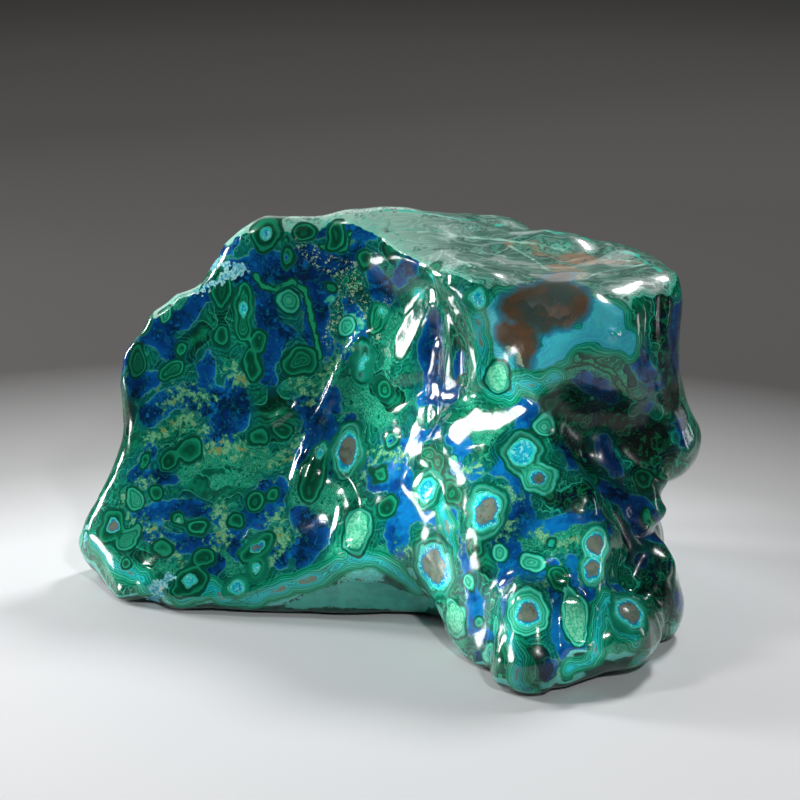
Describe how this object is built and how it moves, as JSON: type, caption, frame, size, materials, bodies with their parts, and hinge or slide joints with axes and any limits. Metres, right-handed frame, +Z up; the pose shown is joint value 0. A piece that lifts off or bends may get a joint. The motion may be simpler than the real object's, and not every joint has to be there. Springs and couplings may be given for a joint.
{
  "type": "polished azurite malachite freeform",
  "caption": "Freestanding lump of banded blue and green copper stone, ground to soft facets, hollows and lobes and polished all over, with a flat underside.",
  "frame": {"origin": "middle of the bounding box, on the flat underside", "axes": "+X along the broad polished face from its low toe to the high block, +Y away from that face towards the plain far side, +Z up"},
  "size_m": [0.1938, 0.1532, 0.1169],
  "materials": {
    "polished_stone": "polished, banded blue and green with turquoise, brown and grey-green patches"
  },
  "bodies": {
    "root": {"azurite_malachite_stone": "polished_stone"}
  },
  "joints": []
}
